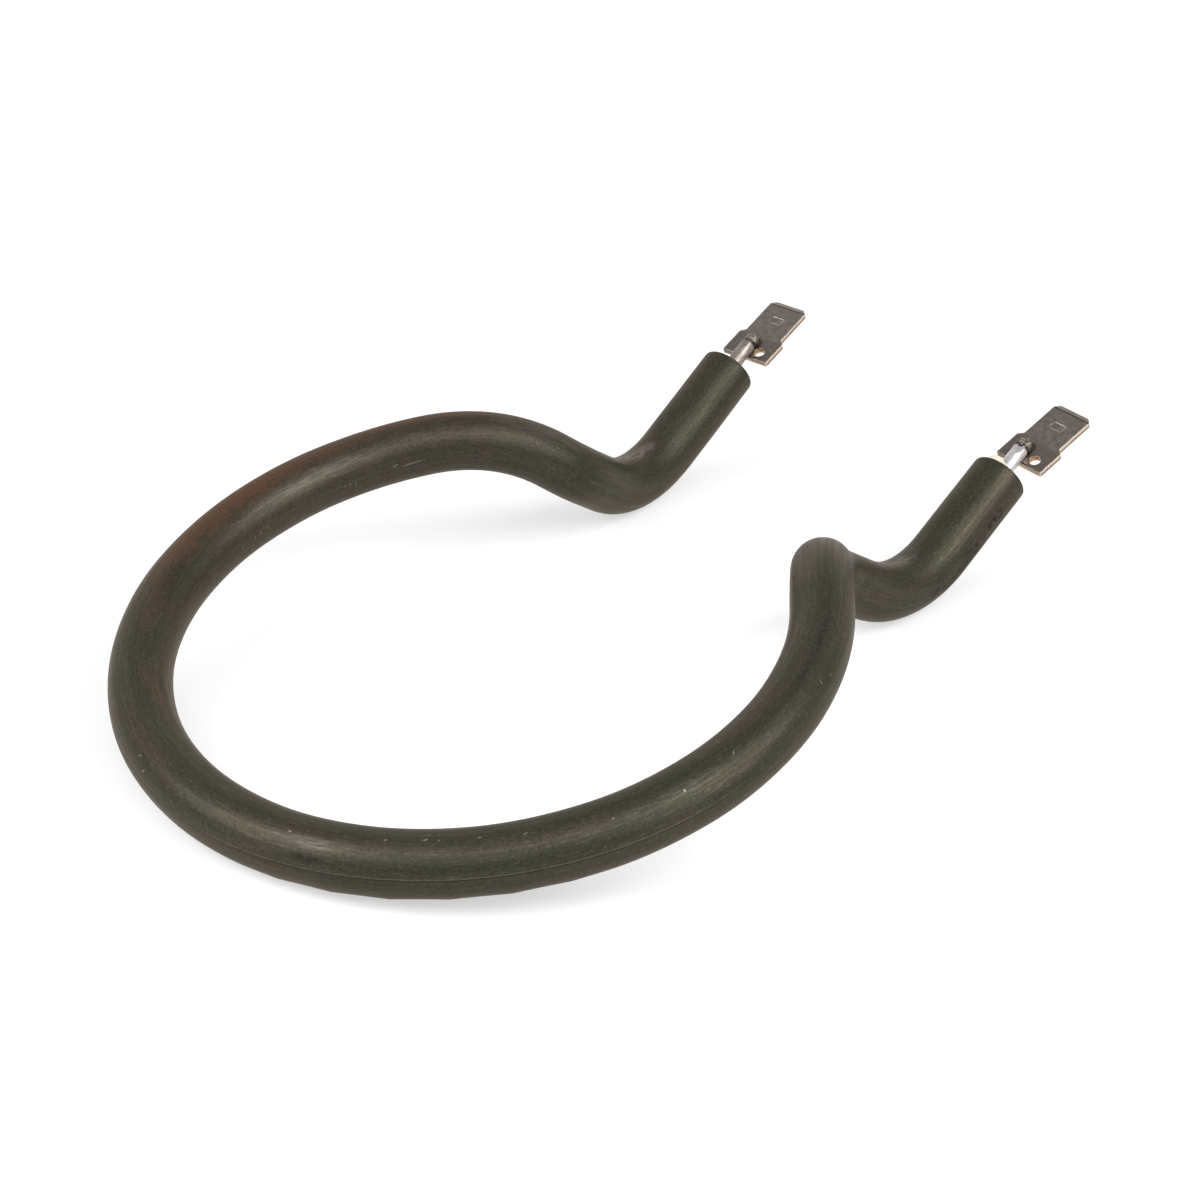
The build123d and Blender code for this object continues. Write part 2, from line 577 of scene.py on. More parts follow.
@dataclass(frozen=True)
class OxidisedSheath:
    """Dark oxide on a drawn steel tube: olive grey with heat tints, rubs and scratches."""

    olive: Colour = (0.047, 0.049, 0.033)
    umber: Colour = (0.062, 0.053, 0.039)
    rust: Colour = (0.120, 0.057, 0.034)
    plum: Colour = (0.135, 0.112, 0.094)
    bared: Colour = (0.27, 0.245, 0.225)
    soot: Colour = (0.020, 0.019, 0.014)
    ink: Colour = (0.007, 0.007, 0.006)
    scratch: Colour = (0.26, 0.245, 0.215)
    sheen: Colour = (0.84, 0.70, 0.58)
    tube_radius: float = 4.0
    rim_from: float = 155.95
    roughness: float = 0.44

    tints: tuple[Patch, ...] = (
        Patch(-67, 86, 24, 2.5, 0.95),
        Patch(-90, 68, 24, 2.3, 0.60),
        Patch(-42, 106, 9, 1.3, 0.32),
        Patch(-28, 106, 2.4, 0.7, 0.42),
        Patch(-23.5, 124, 4.0, 0.8, 0.42),
    )
    rubs: tuple[Patch, ...] = (
        Patch(131, 58, 5.0, 1.2, 0.55),
        Patch(-133, 62, 6.5, 1.3, 0.60),
        Patch(-108, 104, 7, 1.2, 0.20),
        Patch(12.5, 62, 5, 0.9, 0.22),
        Patch(54, 62, 7, 1.0, 0.16),
        Patch(-76, 132, 12, 1.2, 0.22),
    )
    soots: tuple[Patch, ...] = (
        Patch(82, 72, 13, 0.7, 0.7),
        Patch(142, 318, 8, 1.2, 0.8),
        Patch(12.5, 34, 3, 0.6, 0.7),
        Patch(148, 40, 5, 0.8, 0.5),
        Patch(-48, 112, 6, 1.0, 0.5),
    )
    prints: tuple[Patch, ...] = (
        Patch(137.5, 318, 4.0, 1.5, 1.0),
        Patch(143.5, 324, 4.0, 1.5, 1.0),
        Patch(149.0, 334, 2.6, 1.2, 0.9),
    )
    strokes: tuple[Stroke, ...] = (
        Stroke(-91.0, 175, 1.9, 0.09, 4, 0.55),
        Stroke(-88.4, 171, 0.6, 0.10, 12, 0.6),
        Stroke(-80.4, 177, 0.30, 0.07, 80, 0.55),
        Stroke(-81.2, 179, 0.28, 0.07, 84, 0.6),
        Stroke(-82.1, 181, 0.32, 0.07, 86, 0.5),
        Stroke(-61.3, 178, 0.36, 0.07, 70, 0.55),
        Stroke(-64.0, 177, 0.42, 0.07, 78, 0.6),
        Stroke(-65.2, 176, 0.50, 0.07, 80, 0.6),
        Stroke(-66.6, 176, 0.36, 0.07, 76, 0.5),
        Stroke(-14.8, 46, 0.34, 0.09, 30, 0.8),
        Stroke(-13.0, 32, 0.40, 0.09, 60, 0.8),
        Stroke(9.8, 72, 0.30, 0.10, 0, 0.9),
        Stroke(21.0, 84, 0.22, 0.12, 40, 0.8),
        Stroke(25.5, 86, 0.34, 0.10, 15, 0.9),
        Stroke(27.0, 84, 0.20, 0.12, 70, 0.7),
        Stroke(31.5, 84, 0.24, 0.12, 10, 0.9),
        Stroke(36.5, 78, 0.32, 0.10, 25, 0.7),
        Stroke(46.0, 62, 0.18, 0.13, 30, 0.6),
        Stroke(54.5, 56, 0.20, 0.16, 60, 1.0),
        Stroke(62.0, 66, 0.34, 0.10, 50, 0.8),
        Stroke(77.5, 40, 0.45, 0.07, 62, 0.6),
        Stroke(79.5, 30, 0.40, 0.07, 8, 0.6),
    )

    def patch(
        self,
        bench: Bench,
        place: bpy.types.NodeSocket,
        area: Patch,
        ragged: bpy.types.NodeSocket,
    ) -> bpy.types.NodeSocket:
        """Mask of a soft-edged area.

        Args:
            bench: The tree in hand.
            place: Unbent coordinates.
            area: The area.
            ragged: Noise that breaks up its edge.

        Returns:
            The mask's socket.
        """
        turn = math.radians(area.angle)
        spot = (area.length, self.tube_radius * math.cos(turn), self.tube_radius * math.sin(turn))
        offset = bench.scaled(
            place,
            (1 / area.half_length, 1 / area.half_width, 1 / area.half_width),
            (-spot[0] / area.half_length, -spot[1] / area.half_width, -spot[2] / area.half_width),
        )
        node = bench.tree.nodes.new("ShaderNodeVectorMath")
        node.operation = "LENGTH"
        bench.link(offset, node.inputs[0])
        reach = bench.total(node.outputs["Value"], bench.math("MULTIPLY_ADD", ragged, 1.4, -0.7))
        return bench.span(reach, 1.25, 0.15, 0.0, area.strength)

    def stroke(
        self,
        bench: Bench,
        place: bpy.types.NodeSocket,
        mark: Stroke,
        wobble: bpy.types.NodeSocket,
    ) -> bpy.types.NodeSocket:
        """Mask of one fine scratch.

        Args:
            bench: The tree in hand.
            place: Unbent coordinates.
            mark: The scratch.
            wobble: Noise that breaks it up.

        Returns:
            The mask's socket.
        """
        turn, lean = math.radians(mark.angle), math.radians(mark.lean)
        mapping = bench.tree.nodes.new("ShaderNodeMapping")
        mapping.vector_type = "TEXTURE"
        mapping.inputs["Location"].default_value = (
            mark.length,
            self.tube_radius * math.cos(turn),
            self.tube_radius * math.sin(turn),
        )
        # X along the scratch, Z square to it on the surface, Y off the surface.
        tangent = Vector((0, -math.sin(turn), math.cos(turn)))
        along = Vector((1, 0, 0)) * math.cos(lean) + tangent * math.sin(lean)
        normal = Vector((0, math.cos(turn), math.sin(turn)))
        basis = Matrix((along, normal, along.cross(normal))).transposed()
        mapping.inputs["Rotation"].default_value = basis.to_euler("XYZ")
        mapping.inputs["Scale"].default_value = (mark.reach, mark.reach, mark.width)
        bench.link(place, mapping.inputs["Vector"])
        node = bench.tree.nodes.new("ShaderNodeVectorMath")
        node.operation = "LENGTH"
        bench.link(mapping.outputs[0], node.inputs[0])
        reach = bench.total(node.outputs["Value"], bench.math("MULTIPLY_ADD", wobble, 1.2, -0.6))
        return bench.span(reach, 1.1, 0.5, 0.0, mark.strength)

    def sum_masks(self, bench: Bench, masks: list[bpy.types.NodeSocket]) -> bpy.types.NodeSocket:
        """The larger of several masks everywhere.

        Args:
            bench: The tree in hand.
            masks: The masks, at least one.

        Returns:
            The joined mask's socket.
        """
        result = masks[0]
        for mask in masks[1:]:
            result = bench.math("MAXIMUM", result, mask)
        return result

    def make(self) -> bpy.types.Material:
        """Build the material.

        Returns:
            The oxidised sheath's material.
        """
        bench = Bench("oxidised_sheath")
        place = bench.attribute(Coordinates.UNBENT)
        length, side_out, side_up = bench.split(place)

        ragged = bench.grain(bench.scaled(place, (0.35, 0.9, 0.9)), 1.0, 4.0, 0.65)
        clouds = bench.grain(
            bench.scaled(place, (0.05, 0.28, 0.28), (3.0, 0.0, 0.0)), 1.0, 3.0, 0.6
        )
        draw = bench.grain(bench.scaled(place, (0.07, 2.2, 2.2)), 1.0, 5.0, 0.66)
        fine_draw = bench.grain(
            bench.scaled(place, (0.45, 5.5, 5.5), (7.0, 0.0, 0.0)), 1.0, 3.0, 0.65
        )
        pepper = bench.grain(bench.scaled(place, (2.3, 3.0, 3.0), (2.0, 9.0, 0.0)), 1.0, 4.0, 0.75)
        speckle = bench.grain(bench.scaled(place, (5.0, 7.0, 7.0)), 1.0, 3.0, 0.7)
        crumbs = bench.grain(bench.scaled(place, (1.9, 2.3, 2.3), (0.0, 5.0, 0.0)), 1.0, 4.0, 0.7)

        tint = self.sum_masks(bench, [self.patch(bench, place, a, ragged) for a in self.tints])
        rub = self.sum_masks(bench, [self.patch(bench, place, a, ragged) for a in self.rubs])
        soot = self.sum_masks(bench, [self.patch(bench, place, a, ragged) for a in self.soots])
        scratch = self.sum_masks(
            bench, [self.stroke(bench, place, m, crumbs) for m in self.strokes]
        )

        streaks = bench.span(draw, 0.40, 0.60)
        browned = bench.product(bench.span(length, -125.0, -95.0), bench.span(length, -30.0, -60.0))
        warmth = bench.math("MAXIMUM", bench.span(clouds, 0.42, 0.62), bench.product(browned, 0.8))
        colour = bench.mix(warmth, self.olive, self.umber)
        colour = bench.mix(bench.product(streaks, 0.26), colour, self.soot)
        colour = bench.mix(bench.span(fine_draw, 0.55, 0.70, 0.0, 0.40), colour, self.plum)
        colour = bench.mix(bench.span(pepper, 0.47, 0.36, 0.0, 0.45), colour, self.soot)
        colour = bench.mix(bench.span(pepper, 0.54, 0.66, 0.0, 0.34), colour, self.plum)
        colour = bench.mix(bench.span(speckle, 0.46, 0.36, 0.0, 0.45), colour, self.soot)
        end = bench.span(
            bench.math("ABSOLUTE", bench.total(length, 0.6)), self.rim_from, self.rim_from + 0.3
        )
        colour = bench.mix(
            bench.product(end, bench.span(crumbs, 0.40, 0.60, 0.1, 0.8)), colour, self.plum
        )
        colour = bench.mix(
            bench.product(tint, bench.span(pepper, 0.36, 0.60, 0.30, 1.0)), colour, self.rust
        )
        colour = bench.mix(
            bench.product(rub, bench.span(fine_draw, 0.38, 0.62, 0.15, 1.0)), colour, self.bared
        )
        dabs = bench.grain(bench.scaled(place, (1.5, 1.7, 1.7), (4.0, 0.0, 3.0)), 1.0, 2.0, 0.5)
        print_mask = self.sum_masks(
            bench, [self.patch(bench, place, a, ragged) for a in self.prints]
        )
        colour = bench.mix(
            bench.product(print_mask, bench.span(dabs, 0.50, 0.54)), colour, self.ink
        )
        colour = bench.mix(
            bench.product(soot, bench.span(pepper, 0.58, 0.42, 0.45, 1.0)), colour, self.soot
        )
        pits = bench.span(crumbs, 0.70, 0.78)
        colour = bench.mix(bench.product(pits, 0.55), colour, self.soot)
        colour = bench.mix(scratch, colour, self.scratch)
        # Dark line along the hairline step: the seam's own line, deepened as painted shade under
        # the step.
        seam = self.seam(bench, length, side_out, side_up, 0.0)
        colour = bench.mix(bench.product(seam, 0.75), colour, self.soot)
        # Painted highlight: a lighter strip along the step's lip, just above the seam.
        lip_highlight = self.seam(bench, length, side_out, side_up, 0.17)
        colour = bench.mix(
            bench.product(lip_highlight, bench.span(crumbs, 0.35, 0.55, 0.3, 1.0), 0.6), colour, self.plum
        )

        rough = bench.total(
            self.roughness,
            bench.span(draw, 0.3, 0.7, -0.05, 0.05),
            bench.span(speckle, 0.3, 0.7, -0.03, 0.03),
            bench.product(tint, 0.10),
            bench.product(rub, -0.06),
            bench.product(soot, 0.12),
        )
        height = bench.total(
            bench.product(draw, 0.5),
            bench.product(fine_draw, 0.22),
            bench.product(speckle, 0.22),
            bench.product(pits, -0.5),
            bench.product(scratch, -0.8),
            bench.product(seam, -1.1),
        )
        bench.bump(height, 0.00002)
        bench.set(base_color=colour, metallic=0.5, roughness=rough, ior=1.32)
        bench.set(specular_tint=(*self.sheen, 1.0))
        return bench.material

    def seam(
        self,
        bench: Bench,
        length: bpy.types.NodeSocket,
        side_out: bpy.types.NodeSocket,
        side_up: bpy.types.NodeSocket,
        above: float,
    ) -> bpy.types.NodeSocket:
        """Mask of the hairline step that runs along the tube's outer side; its dark line is partly
        painted shade under the step, and raised by above it marks the strip of painted highlight on
        the step's lip.

        Args:
            bench: The tree in hand.
            length: Length from the middle.
            side_out: Outward part of the unbent place.
            side_up: Upward part of the unbent place.
            above: How far above the step the mask lies.

        Returns:
            The mask's socket.
        """
        waver = bench.math("SINE", bench.product(length, 0.09))
        level = bench.math("MULTIPLY_ADD", waver, 0.18, 0.85 + above)
        off = bench.math("ABSOLUTE", bench.math("SUBTRACT", side_up, level))
        line = bench.span(off, 0.13, 0.04)
        facing = bench.span(side_out, 0.0, 1.5)
        stretch = bench.product(bench.span(length, -6.0, 2.0), bench.span(length, 66.0, 52.0))
        return bench.product(line, facing, stretch)


@dataclass(frozen=True)
class Sheath:
    """The metal tube from rim to rim, with its bore."""

    route: BentRoute
    wall: float = 0.7
    rim_round: float = 0.4
    rim_parts: int = 4
    around: int = 72
    bore_step: float = 2.0
    facet_length: float = 6.5
    facet_depth: float = 0.11
    unevenness: float = 0.05

    def relief(self, length: np.ndarray, angle: np.ndarray) -> np.ndarray:
        """How far the worn outside lies in from the true round.

        Args:
            length: Lengths from the middle.
            angle: Angles round the tube, in radians.

        Returns:
            Depths in millimetres, none below zero.
        """
        across = (length - 1.5) % self.facet_length / self.facet_length * 2 - 1
        facet = self.facet_depth * (1 - across**2)
        window = np.clip((length - 2) / 8, 0, 1) * np.clip((46 - length) / 8, 0, 1)
        under = np.clip(np.cos(angle + math.radians(55)), 0, 1)
        waves = (
            np.sin(length * 0.31 + 2 * angle)
            + np.sin(length * 0.17 - 3 * angle + 1.3)
            + np.sin(length * 0.47 + angle + 2.1)
        )
        return facet * window * under + self.unevenness * (waves + 3) / 6

    def build(self, stations: Stations, finish: bpy.types.Material) -> bpy.types.Object:
        """Build the tube as one closed skin: outside, rim, bore and rim.

        Args:
            stations: The route as it lies.
            finish: The sheath's material.

        Returns:
            The sheath's piece.
        """
        radius = self.route.tube_radius
        bore = radius - self.wall
        first, last = stations.length[0], stations.length[-1]
        inside = (stations.length > first + self.rim_round + 0.1) & (
            stations.length < last - self.rim_round - 0.1
        )
        angle = np.linspace(0, 2 * np.pi, self.around, endpoint=False)

        profile: list[tuple[float, float, bool]] = []
        sweep = np.linspace(0, math.pi / 2, self.rim_parts + 1)
        left_rim = [
            (
                first + self.rim_round * (1 - math.sin(a)),
                radius - self.rim_round * (1 - math.cos(a)),
                True,
            )
            for a in sweep
        ]
        right_rim = [
            (
                last - self.rim_round * (1 - math.sin(a)),
                radius - self.rim_round * (1 - math.cos(a)),
                True,
            )
            for a in sweep
        ]
        profile += left_rim[::-1]
        profile += [(float(s), radius, True) for s in stations.length[inside]]
        profile += right_rim
        profile += [(last, bore + 0.1, False), (last - 0.1, bore, False)]
        parts = math.ceil((last - first) / self.bore_step)
        profile += [(float(s), bore, False) for s in np.linspace(last, first, parts + 1)[1:-1]]
        profile += [(first + 0.1, bore, False), (first, bore + 0.1, False)]

        points, unbent = [], []
        for length, reach, worn in profile:
            centre, out, up = (
                np.array([np.interp(length, stations.length, column) for column in table.T])
                for table in (stations.centre, stations.out, stations.up)
            )
            radii = np.full_like(angle, reach)
            if worn:
                radii -= self.relief(np.full_like(angle, length), angle)
            ring = radii[:, None] * (np.cos(angle)[:, None] * out + np.sin(angle)[:, None] * up)
            points.append(centre + ring)
            unbent.append(
                np.stack(
                    [np.full_like(angle, length), reach * np.cos(angle), reach * np.sin(angle)], 1
                )
            )
        faces = ring_faces(len(profile), self.around, closed=True)
        piece = make_piece(
            "dressed_sheath",
            np.concatenate(points),
            faces,
            finish,
            (Coordinates.UNBENT, np.concatenate(unbent)),
        )
        shade_sharp(piece, 50)
        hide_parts("sheath_tube")
        return piece


# ---------------------------------------------------------------- the terminals
def rounded_outline(corners: list[tuple[float, float, float]], parts: int = 5) -> np.ndarray:
    """Closed outline with an arc at each corner.

    Args:
        corners: X, Y and rounding radius of each corner, anticlockwise.
        parts: Segments in each arc.

    Returns:
        The outline's points.
    """
    points = []
    count = len(corners)
    for i, (x, y, radius) in enumerate(corners):
        here = np.array([x, y])
        back = np.array(corners[i - 1][:2]) - here
        ahead = np.array(corners[(i + 1) % count][:2]) - here
        back /= np.linalg.norm(back)
        ahead /= np.linalg.norm(ahead)
        half = math.acos(float(back @ ahead)) / 2
        middle = (back + ahead) / np.linalg.norm(back + ahead)
        hub = here + middle * (radius / math.sin(half))
        first = here + back * (radius / math.tan(half)) - hub
        final = here + ahead * (radius / math.tan(half)) - hub
        for share in np.linspace(0, 1, parts + 1):
            spoke = first * (1 - share) + final * share
            points.append(hub + spoke / np.linalg.norm(spoke) * radius)
    return np.array(points)


def inset(outline: np.ndarray, depth: float) -> np.ndarray:
    """Move an anticlockwise outline inwards, point by point.

    Args:
        outline: The outline's points.
        depth: How far it moves in.

    Returns:
        As many points, moved.
    """
    ahead = np.roll(outline, -1, 0) - outline
    ahead /= np.linalg.norm(ahead, axis=1, keepdims=True)
    normal = np.stack([-ahead[:, 1], ahead[:, 0]], 1)
    both = normal + np.roll(normal, 1, 0)
    return outline + both * (depth / (1 + (normal * np.roll(normal, 1, 0)).sum(1)))[:, None]


@dataclass(frozen=True)
class BladeTab:
    """Stamped tab: base with a trough and an eye, shoulders, dimpled blade."""

    sheet: float = 0.8
    blade_width: float = 6.3
    length: float = 11.855
    base_width: float = 7.8
    base_length: float = 4.3
    shoulder_slope: float = 0.6
    corner_cut: float = 0.7
    lead_in: float = 0.80
    lead_slope: float = 0.15
    eye_radius: float = 0.8
    eye_place: tuple[float, float] = (1.7, 1.5)
    dimple_size: tuple[float, float] = (2.2, 1.4)
    dimple_depth: float = 0.07
    dimple_wall: float = 0.15
    dimple_along: float = 8.2
    die_roll: float = 0.10
    burr: float = 0.03
    grid: float = 0.17
    pin_radius: float = 1.1
    groove_depth: float = 0.45
    pin_overlap: float = 3.7

    def outline(self) -> np.ndarray:
        """The flat outline, anticlockwise from the base's right front corner."""
        half_base, half_blade = self.base_width / 2, self.blade_width / 2
        right = [
            (half_base, 0.0, 0.12),
            (half_base, self.base_length, 0.25),
            (half_blade, self.base_length + self.shoulder_slope, 0.25),
            (half_blade, self.length - self.corner_cut, 0.60),
            (half_blade - self.corner_cut, self.length, 0.60),
        ]
        return rounded_outline(right + [(-x, y, radius) for x, y, radius in reversed(right)])

    def pitch(self) -> float:
        """Angle between the pin and the tab, in radians."""
        return math.atan2(self.groove_depth, self.pin_overlap)

    def trough(self, place: np.ndarray, end: "EndSet", radius: float) -> np.ndarray:
        """Height of the underside of a round bar that lies where the pin does.

        Args:
            place: Points on the tab.
            end: The small set of this tab on its pin.
            radius: Radius of the bar.

        Returns:
            Heights, large where the bar isn't.
        """
        turn = math.radians(end.turn)
        axis_x = -end.shift * math.cos(turn) - place[:, 1] * math.tan(turn)
        axis_z = self.pin_radius - self.groove_depth + place[:, 1] * math.tan(self.pitch())
        off = np.abs(place[:, 0] - axis_x)
        under = axis_z - np.sqrt(np.clip(radius**2 - off**2, 0, None))
        beyond = (off > radius) | (place[:, 1] > self.pin_overlap + self.sheet)
        return np.where(beyond, 9.0, under)

    def dimple(self, place: np.ndarray) -> np.ndarray:
        """Depth of the dimple at points on the tab.

        Args:
            place: Points on the tab.

        Returns:
            Depths, none below zero.
        """
        half_x, half_y = self.dimple_size[0] / 2, self.dimple_size[1] / 2
        inside = np.minimum(
            half_x - np.abs(place[:, 0]), half_y - np.abs(place[:, 1] - self.dimple_along)
        )
        share = np.clip(inside / self.dimple_wall, 0, 1)
        return self.dimple_depth * share * share * (3 - 2 * share)

    def bevel(self, place: np.ndarray) -> np.ndarray:
        """Depth of the lead-in bevel at points on the tab.

        Args:
            place: Points on the tab.

        Returns:
            Depths, none below zero.
        """
        return np.clip(self.lead_in - (self.length - place[:, 1]), 0, None) * self.lead_slope

    def top(self, place: np.ndarray, end: "EndSet") -> np.ndarray:
        """Height of the upper face.

        Args:
            place: Points on the tab.
            end: The small set of this tab on its pin.

        Returns:
            Heights above the sheet's upper plane.
        """
        pressed = np.minimum(0, self.trough(place, end, self.pin_radius + 0.01))
        return pressed - self.dimple(place) - self.bevel(place)

    def bottom(self, place: np.ndarray, end: "EndSet") -> np.ndarray:
        """Height of the lower face.

        Args:
            place: Points on the tab.
            end: The small set of this tab on its pin.

        Returns:
            Heights above the sheet's upper plane.
        """
        pushed = np.minimum(-self.sheet, self.trough(place, end, self.pin_radius + self.sheet))
        return pushed - self.dimple(place) + self.bevel(place)

    def plan(self) -> tuple[np.ndarray, list[tuple[int, int, int]]]:
        """Triangles of the face inside its rolled edges, with the eye left open.

        Returns:
            Points, the outline's and the eye's first, and the triangles.
        """
        border = inset(self.outline(), self.die_roll)
        eye = self.eye_ring(self.die_roll)
        centre = np.array(self.eye_place)
        loops = [border, eye]
        for extra in (0.0, self.dimple_wall / 2, self.dimple_wall):
            half_x, half_y = self.dimple_size[0] / 2 - extra, self.dimple_size[1] / 2 - extra
            radius = 0.22 - extra / 2
            corners = [(half_x, -half_y), (half_x, half_y), (-half_x, half_y), (-half_x, -half_y)]
            loops.append(
                rounded_outline([(x, y + self.dimple_along, radius) for x, y in corners], 3)
            )
        xs = np.arange(-self.base_width / 2, self.base_width / 2, self.grid)
        ys = np.arange(0, self.length, self.grid)
        lattice = np.array([(x, y) for y in ys for x in xs])
        lattice = lattice[
            (self.depth_inside(lattice, border) > self.grid * 0.45)
            & (np.linalg.norm(lattice - centre, axis=1) > self.eye_radius + self.die_roll + 0.08)
        ]
        points = np.concatenate([*loops, lattice])
        edges, start = [], 0
        for loop in loops:
            count = len(loop)
            edges += [(start + i, start + (i + 1) % count) for i in range(count)]
            start += count
        found, _, faces, origins, _, _ = geometry.delaunay_2d_cdt(
            [Vector(p) for p in points], edges, [], 1, 1e-5
        )
        order = {}
        for new, old in enumerate(origins):
            for index in old:
                order[index] = new
        found = np.array([tuple(p) for p in found])
        rank = [order[i] for i in range(len(border) + len(eye))]
        rest = [i for i in range(len(found)) if i not in set(rank)]
        place_of = {old: new for new, old in enumerate(rank + rest)}
        points = found[rank + rest]
        triangles = [tuple(place_of[i] for i in face) for face in faces]
        middles = np.array([points[list(face)].mean(0) for face in triangles])
        outside_eye = np.linalg.norm(
            middles - centre, axis=1
        ) > self.eye_radius + self.die_roll * 0.98
        return points, [face for face, keep in zip(triangles, outside_eye) if keep]

    def eye_ring(self, depth: float) -> np.ndarray:
        """Circle round the eye, anticlockwise.

        Args:
            depth: How far out from the eye's wall it runs.

        Returns:
            Points on the circle.
        """
        angle = np.linspace(0, 2 * np.pi, 32, endpoint=False)
        ring = np.stack([np.cos(angle), np.sin(angle)], 1) * (self.eye_radius + depth)
        return ring + np.array(self.eye_place)

    @staticmethod
    def depth_inside(points: np.ndarray, outline: np.ndarray) -> np.ndarray:
        """Signed distance of points inside an outline.

        Args:
            points: The points.
            outline: A closed anticlockwise outline.

        Returns:
            Distances, positive inside.
        """
        start, stop = outline, np.roll(outline, -1, 0)
        span = stop - start
        offset = points[:, None] - start[None]
        share = np.clip((offset * span).sum(2) / (span**2).sum(1), 0, 1)
        near = np.linalg.norm(offset - share[..., None] * span, axis=2).min(1)
        crosses = (start[:, 1] > points[:, None, 1]) != (stop[:, 1] > points[:, None, 1])
        rise = np.where(np.abs(span[:, 1]) < 1e-9, 1e-9, span[:, 1])
        reach = start[:, 0] + (points[:, None, 1] - start[:, 1]) * span[:, 0] / rise
        inside = (crosses & (points[:, None, 0] < reach)).sum(1) % 2 == 1
        return np.where(inside, near, -near)

    def build(
        self,
        name: str,
        matrix: Matrix,
        end: "EndSet",
        finish: bpy.types.Material,
    ) -> bpy.types.Object:
        """Build the tab in its seat.

        Args:
            name: Name of the piece.
            matrix: The leg's frame.
            end: The small set of this tab on its pin.
            finish: The tab's material.

        Returns:
            The tab's piece.
        """
        plan, triangles = self.plan()
        outline = self.outline()
        rims, eyes = len(outline), 32
        points: list[np.ndarray] = []
        faces: list[tuple[int, ...]] = []

        def add(place: np.ndarray, height: np.ndarray) -> int:
            """Keep a group of points.

            Args:
                place: Their places on the tab.
                height: Their heights.

            Returns:
                The number of the group's first point.
            """
            start = sum(len(group) for group in points)
            points.append(np.column_stack([place, height]))
            return start

        def roll(radius: float, depth: float) -> float:
            """Drop of a rolled edge.

            Args:
                radius: Radius of the roll.
                depth: How far in from the wall.

            Returns:
                The drop.
            """
            return radius - math.sqrt(max(radius**2 - (radius - depth) ** 2, 0))

        def band(first: int, second: int, count: int, flip: bool) -> None:
            """Quads between two loops of points.

            Args:
                first: First point of one loop.
                second: First point of the other.
                count: Points in each loop.
                flip: Whether the quads face the other way.
            """
            for i in range(count):
                j = (i + 1) % count
                quad = (first + i, first + j, second + j, second + i)
                faces.append(quad[::-1] if flip else quad)

        top = add(plan, self.top(plan, end))
        bottom = add(plan, self.bottom(plan, end))
        faces += [tuple(top + i for i in face) for face in triangles]
        faces += [tuple(bottom + i for i in face[::-1]) for face in triangles]

        loops = ((outline, inset, rims, 0, False), (None, None, eyes, rims, True))
        for base, move, count, offset, is_eye in loops:
            chain = [top + offset]
            for depth in (self.die_roll * 0.6, self.die_roll * 0.25, 0.0):
                place = self.eye_ring(depth) if is_eye else move(base, depth)
                chain.append(add(place, self.top(place, end) - roll(self.die_roll, depth)))
            for depth in (0.0, self.burr):
                place = self.eye_ring(depth) if is_eye else move(base, depth)
                chain.append(add(place, self.bottom(place, end) + roll(self.burr, depth)))
            chain.append(bottom + offset)
            for first, second in zip(chain, chain[1:]):
                band(first, second, count, not is_eye)

        local = np.concatenate(points)
        seat = (
            matrix
            @ Matrix.Translation((end.shift, end.gap, self.groove_depth - self.pin_radius))
            @ Matrix.Rotation(-self.pitch(), 4, "X")
            @ Matrix.Rotation(-math.radians(end.turn), 4, "Z")
        )
        turn = np.array(seat.to_3x3())
        placed = local @ turn.T + np.array(seat.translation)
        piece = make_piece(name, placed, faces, finish, (Coordinates.LOCAL, local))
        shade_sharp(piece, 40)
        self.mark(piece, seat, local, end)
        return piece

    def mark(self, piece: bpy.types.Object, seat: Matrix, local: np.ndarray, end: "EndSet") -> None:
        """Keep on the mesh which faces the die cut, and how far the eye and the weld are.

        Args:
            piece: The tab's piece.
            seat: The tab's frame in the row.
            local: The points in the tab's frame.
            end: The small set of this tab on its pin.
        """
        turn, along = math.radians(end.turn), 2.75
        weld = np.array([-end.shift * math.cos(turn) - along * math.tan(turn), along])
        for name, spot in (("eye_off", np.array(self.eye_place)), ("weld_off", weld)):
            layer = piece.data.attributes.new(name, "FLOAT", "POINT")
            layer.data.foreach_set("value", np.linalg.norm(local[:, :2] - spot, axis=1))
        up = (seat.to_3x3() @ Vector((0, 0, 1))).normalized()
        cut = [1.0 if abs(face.normal.dot(up)) < 0.5 else 0.0 for face in piece.data.polygons]
        layer = piece.data.attributes.new("cut_edge", "FLOAT", "FACE")
        layer.data.foreach_set("value", cut)


@dataclass(frozen=True)
class EndSet:
    """What sets one terminal apart: its tab's small set, its seal bead and its weld."""

    shift: float
    turn: float
    gap: float = 3.5
    bead_height: float = 0.45
    bead_lean: float = 0.0
    bead_side: float = 100.0
    press: float = 0.15
    seed: float = 0.0


